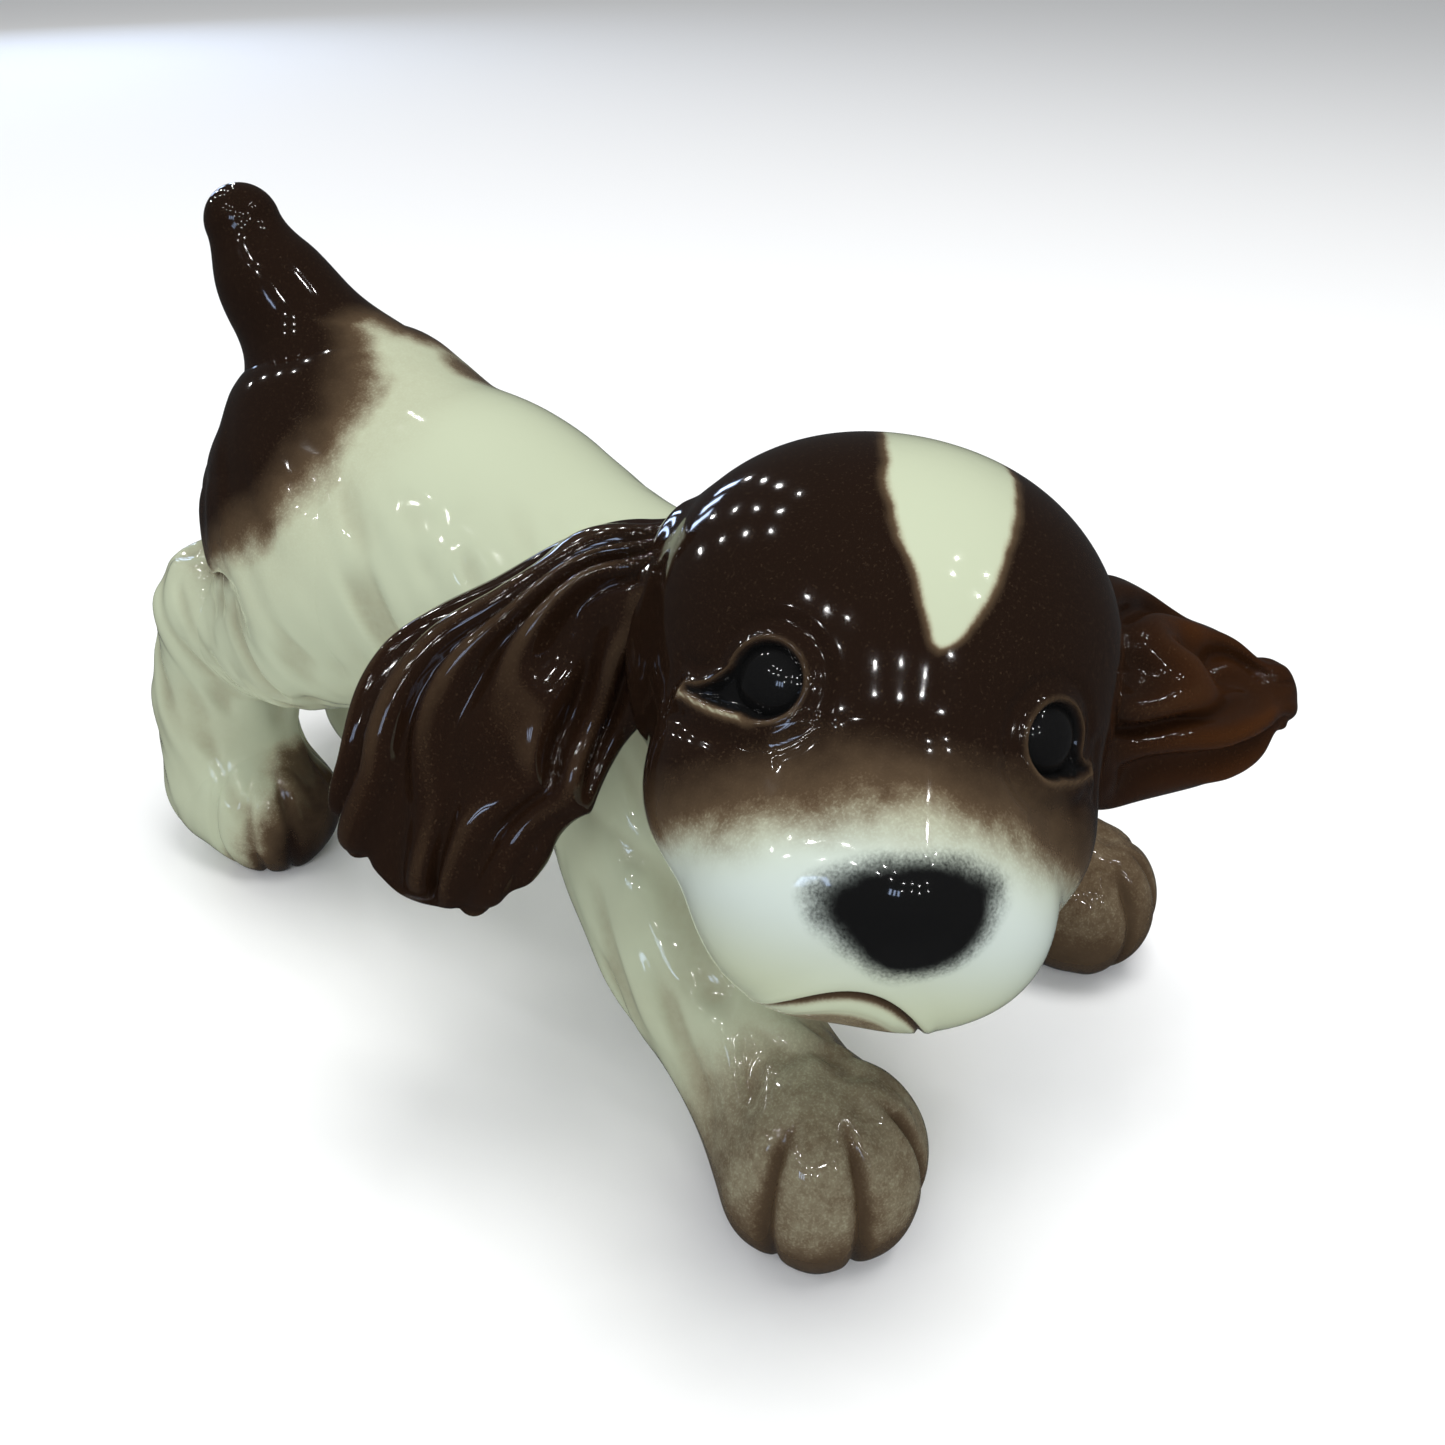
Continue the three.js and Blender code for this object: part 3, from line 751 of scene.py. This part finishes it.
class PuppySizes(bpy.types.PropertyGroup):
    """The sizes of the details that are carved into the clay or pressed on to it."""

    fur_depth: bpy.props.FloatProperty(
        name="Fur Depth", description="From the hollows of the combed coat to its ridges",
        unit="LENGTH", precision=4, min=0, default=1.0 * MM)
    toe_depth: bpy.props.FloatProperty(
        name="Toe Depth", description="Depth of the grooves between the toes",
        unit="LENGTH", precision=4, min=0, default=1.2 * MM)
    ear_thickness: bpy.props.FloatProperty(
        name="Ear Thickness", description="Half the thickness of an ear",
        unit="LENGTH", precision=4, min=0.5 * MM, default=EAR_HALF_THICKNESS * MM)
    strand_depth: bpy.props.FloatProperty(
        name="Strand Depth", description="Depth of the flowing grooves of the ears",
        unit="LENGTH", precision=4, min=0, default=1.6 * MM)
    eye_radius: bpy.props.FloatProperty(
        name="Eye Radius", description="Radius of the ball that each eye is part of",
        unit="LENGTH", precision=4, min=3.7 * MM, default=5.2 * MM)


class PuppyGlazes(bpy.types.PropertyGroup):
    """The colours of the clay and of what is sprayed on it."""

    cream: bpy.props.FloatVectorProperty(
        name="Cream", description="The bare glaze of the body", subtype="COLOR", size=3,
        min=0, max=1, default=(0.45, 0.49, 0.35))
    white: bpy.props.FloatVectorProperty(
        name="White", description="The muzzle", subtype="COLOR", size=3,
        min=0, max=1, default=(0.50, 0.56, 0.51))
    # This colour is glaze pooled in the combed grooves together with painted shade: in those grooves, low
    # on the body and in the creases under the eyes.
    stain_and_shade: bpy.props.FloatVectorProperty(
        name="Stain", description="Stain lying in the combed grooves", subtype="COLOR", size=3,
        min=0, max=1, default=(0.22, 0.19, 0.115))
    tan: bpy.props.FloatVectorProperty(
        name="Tan", description="Brown at its thinnest", subtype="COLOR", size=3,
        min=0, max=1, default=(0.33, 0.265, 0.17))
    umber: bpy.props.FloatVectorProperty(
        name="Umber", description="Brown at half strength", subtype="COLOR", size=3,
        min=0, max=1, default=(0.07, 0.046, 0.026))
    brown: bpy.props.FloatVectorProperty(
        name="Brown", description="Brown at full strength", subtype="COLOR", size=3,
        min=0, max=1, default=(0.011, 0.0055, 0.0032))
    amber: bpy.props.FloatVectorProperty(
        name="Amber", description="Where the brown runs thin and warm over an ear", subtype="COLOR",
        size=3, min=0, max=1, default=(0.045, 0.014, 0.0025))
    black: bpy.props.FloatVectorProperty(
        name="Black", description="The nose and the eyes", subtype="COLOR", size=3,
        min=0, max=1, default=(0.005, 0.005, 0.005))


def glaze():
    """The one glaze, made once and shared by every piece."""
    return bpy.data.materials.get("sprayed_glaze") or glaze_material(
        "sprayed_glaze", bpy.context.scene.puppy_glazes)


def finish_piece(piece, slot, *nodes):
    """Gives a piece its glaze, its place on the frame and the nodes that it stands for."""
    piece.data.materials.append(glaze())
    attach(piece, "root")
    if nodes:
        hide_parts(*nodes)


# ---- operators ----

class PUPPY_OT_body(bpy.types.Operator):
    """Sculpt the body and the tail"""

    bl_idname = "puppy.body"
    bl_label = "Body and Tail"

    def execute(self, context):
        found = distances()
        sizes = context.scene.puppy_sizes
        around = neighbours_of(found, head=5, tail=9, front_right=9, front_left=9, right_haunch=9,
                               left_haunch=9, right_shank=5, left_shank=5)
        torso = body_shell(TORSO, 280, 250, 45, around, sizes)
        finish_piece(make_piece("glazed_body", [torso]), "cream_glaze", "torso")
        tail = body_shell(TAIL, 110, 120, 30, neighbours_of(found, torso=9), sizes)
        finish_piece(make_piece("glazed_tail", [tail]), "brown_glaze", "tail")
        return {"FINISHED"}


class PUPPY_OT_legs(bpy.types.Operator):
    """Sculpt the four legs with their paws"""

    bl_idname = "puppy.legs"
    bl_label = "Legs"

    def execute(self, context):
        found = distances()
        sizes = context.scene.puppy_sizes
        # Toes: their share of the toe depth, their middle, heading and spacing, and their grooves.
        right_toes = (1.0, np.array([-32.5, -61, 9.5]), math.radians(-126), math.radians(52), (-1, 0, 1))
        left_toes = (0.7, np.array([33, -65.5, 9.5]), math.radians(-75), math.radians(40), (-1, 0, 1))
        for side, spine, toes in (("right", FRONT_RIGHT_LEG, right_toes),
                                  ("left", FRONT_LEFT_LEG, left_toes)):
            leg = body_shell(spine, 220, 150, 50, neighbours_of(found, torso=9), sizes, toes)
            finish_piece(make_piece(f"glazed_front_{side}_leg", [leg]), "buff_glaze",
                         f"front_{side}_leg")
        hind = {"right": (HIND_RIGHT_HAUNCH, HIND_RIGHT_SHANK, HIND_RIGHT_PAW, -150),
                "left": (HIND_LEFT_HAUNCH, HIND_LEFT_SHANK, HIND_LEFT_PAW, -75)}
        for side, (haunch, shank, paw, heading) in hind.items():
            centre = np.array(paw[1][:3], dtype=float)
            toes = (0.6, centre, math.radians(heading), math.radians(34), (-1, 0, 1))
            shells = [
                body_shell(haunch, 130, 150, 40, neighbours_of(
                    found, torso=9, **{f"{side}_shank": 6}), sizes),
                body_shell(shank, 110, 110, 24, neighbours_of(
                    found, torso=5, **{f"{side}_haunch": 6, f"{side}_paw": 5}), sizes),
                body_shell(paw, 70, 130, 50, neighbours_of(
                    found, **{f"{side}_shank": 5}), sizes, toes),
            ]
            finish_piece(make_piece(f"glazed_hind_{side}_leg", shells), "cream_glaze",
                         f"hind_{side}_leg")
        return {"FINISHED"}


class PUPPY_OT_head(bpy.types.Operator):
    """Sculpt the head, its ears and its eyes"""

    bl_idname = "puppy.head"
    bl_label = "Head, Ears and Eyes"

    def execute(self, context):
        found = distances()
        sizes = context.scene.puppy_sizes
        neighbours = neighbours_of(found, torso=5)
        for spine, faces in ((RIGHT_EAR, RIGHT_EAR_FACES), (LEFT_EAR, LEFT_EAR_FACES)):
            neighbours.append((ear_distance(spine, faces, sizes.ear_thickness / MM), EAR_BLEND))
        finish_piece(make_piece("glazed_head", [head_shell(neighbours)]), "brown_glaze", "head")
        for side, spine, faces, strands, warmth in (
                ("right", RIGHT_EAR, RIGHT_EAR_FACES, 2.6, 0.1),
                ("left", LEFT_EAR, LEFT_EAR_FACES, 1.5, 1.0)):
            ear = make_piece(f"glazed_{side}_ear", [ear_shell(spine, faces, sizes, strands, warmth)])
            finish_piece(ear, "brown_glaze", f"{side}_ear")
            eye = make_piece(f"glazed_{side}_eye", [eye_shell(side, sizes.eye_radius / MM)])
            finish_piece(eye, "brown_glaze")
        return {"FINISHED"}


class PUPPY_OT_stage(bpy.types.Operator):
    """Set the pale floor, the lamps and the camera"""

    bl_idname = "puppy.stage"
    bl_label = "Stage"

    def execute(self, context):
        build_floor()
        build_lights()
        build_camera()
        return {"FINISHED"}


def build_floor():
    """A pale floor that goes on past the camera's view."""
    reach = 3
    mesh = bpy.data.meshes.new("floor")
    corners = [(-reach, -reach, 0), (reach, -reach, 0), (reach, reach, 0), (-reach, reach, 0)]
    mesh.from_pydata(corners, [], [(0, 1, 2, 3)])
    floor = bpy.data.objects.new("floor", mesh)
    bpy.context.scene.collection.objects.link(floor)
    paint = bpy.data.materials.new("floor_paint")
    paint.use_nodes = True
    surface = paint.node_tree.nodes["Principled BSDF"]
    surface.inputs["Base Color"].default_value = (0.9, 0.9, 0.89, 1)
    surface.inputs["Roughness"].default_value = 0.9
    mesh.materials.append(paint)
    floor.visible_glossy = False


def add_lamp(name, place, size, power, colour=(1, 1, 1), tall=1.0, glints=True):
    """A rectangular lamp aimed at the puppy. Without glints it lights but is never mirrored."""
    lamp = bpy.data.lights.new(name, "AREA")
    lamp.shape = "RECTANGLE"
    lamp.size = size
    lamp.size_y = size * tall
    lamp.energy = power
    lamp.color = colour
    holder = bpy.data.objects.new(name, lamp)
    holder.location = place
    aim = Vector((0, 0, 0.05)) - Vector(place)
    holder.rotation_euler = aim.to_track_quat("-Z", "Y").to_euler()
    holder.visible_glossy = glints
    bpy.context.scene.collection.objects.link(holder)


def far_place(bearing, height, distance=1.2):
    """A place so far from the puppy, at a bearing from +X and an angle above the floor, in degrees."""
    bearing, height = math.radians(bearing), math.radians(height)
    return (distance * math.cos(height) * math.cos(bearing),
            distance * math.cos(height) * math.sin(bearing), distance * math.sin(height))


def build_lights():
    """Soft fill that is never mirrored, rows of small ceiling spots and two tall windows in panes.
    The sky is dimmer where it is mirrored than where it lights."""
    world = bpy.data.worlds.new("studio")
    world.use_nodes = True
    tree = world.node_tree
    background = tree.nodes["Background"]
    background.inputs[0].default_value = (0.95, 0.97, 1, 1)
    path = tree.nodes.new("ShaderNodeLightPath")
    strength = tree.nodes.new("ShaderNodeMapRange")
    strength.inputs["To Min"].default_value = 0.42
    strength.inputs["To Max"].default_value = 0.05
    tree.links.new(path.outputs["Is Glossy Ray"], strength.inputs[0])
    tree.links.new(strength.outputs[0], background.inputs[1])
    bpy.context.scene.world = world
    bpy.context.scene.view_settings.view_transform = "Standard"
    add_lamp("overhead", (0.05, -0.15, 0.9), 0.5, 5.5, glints=False)
    add_lamp("front_fill", far_place(-150, 35), 0.5, 3.0, glints=False)
    # Each group of spots: its bearing and height in degrees, its rows and its columns.
    spots = ((80, 42, 4, 3), (-139, 44, 2, 2), (-60, 62, 2, 2), (178, 56, 2, 3), (-110, 40, 2, 2))
    for group, (bearing, height, rows, columns) in enumerate(spots):
        for row in range(rows):
            for column in range(columns):
                place = far_place(bearing + 16 * (column - columns / 2) + 3 * row,
                                  height + 11 * (row - rows / 2))
                add_lamp(f"spot_{group}_{row}_{column}", place, 0.017, 0.2)
    for window, (bearing, height) in enumerate(((56, 12), (-172, 28))):
        for pane in range(3):
            place = far_place(bearing + 6 * pane, height)
            add_lamp(f"window_{window}_{pane}", place, 0.05, 0.3, (0.55, 0.7, 1), tall=3.5)


def build_camera():
    """The camera looks down at the puppy from in front of its right shoulder."""
    view = bpy.data.cameras.new("camera")
    view.sensor_width = 36
    view.angle = math.radians(50)
    view.clip_start = 0.01
    holder = bpy.data.objects.new("camera", view)
    holder.location = (np.array([-149, -128, 150]) - FIGURE_MIDDLE) * MM
    pitch, heading = math.radians(30.8), math.radians(55)
    forward = Vector((math.cos(pitch) * math.sin(heading), math.cos(pitch) * math.cos(heading),
                      -math.sin(pitch)))
    holder.rotation_euler = forward.to_track_quat("-Z", "Y").to_euler()
    bpy.context.scene.collection.objects.link(holder)
    bpy.context.scene.camera = holder


class PUPPY_PT_panel(bpy.types.Panel):
    """The puppy's sizes, colours and steps"""

    bl_label = "Puppy"
    bl_space_type = "VIEW_3D"
    bl_region_type = "UI"
    bl_category = "Puppy"

    def draw(self, context):
        sizes = context.scene.puppy_sizes
        for name in ("fur_depth", "toe_depth", "ear_thickness", "strand_depth", "eye_radius"):
            self.layout.prop(sizes, name)
        glazes = context.scene.puppy_glazes
        for name in ("cream", "white", "stain_and_shade", "tan", "umber", "brown", "amber", "black"):
            self.layout.prop(glazes, name)
        for operator in OPERATORS:
            self.layout.operator(operator.bl_idname)


OPERATORS = (PUPPY_OT_body, PUPPY_OT_legs, PUPPY_OT_head, PUPPY_OT_stage)
CLASSES = (PuppySizes, PuppyGlazes, *OPERATORS, PUPPY_PT_panel)


def register():
    """Adds the puppy's classes and its settings to Blender."""
    for item in CLASSES:
        bpy.utils.register_class(item)
    bpy.types.Scene.puppy_sizes = bpy.props.PointerProperty(type=PuppySizes)
    bpy.types.Scene.puppy_glazes = bpy.props.PointerProperty(type=PuppyGlazes)


def unregister():
    """Takes the puppy's settings and classes away again."""
    del bpy.types.Scene.puppy_glazes
    del bpy.types.Scene.puppy_sizes
    for item in reversed(CLASSES):
        bpy.utils.unregister_class(item)


def main():
    register()
    bpy.ops.puppy.stage()
    bpy.ops.puppy.body()
    bpy.ops.puppy.legs()
    bpy.ops.puppy.head()


if __name__ == "__main__":
    main()
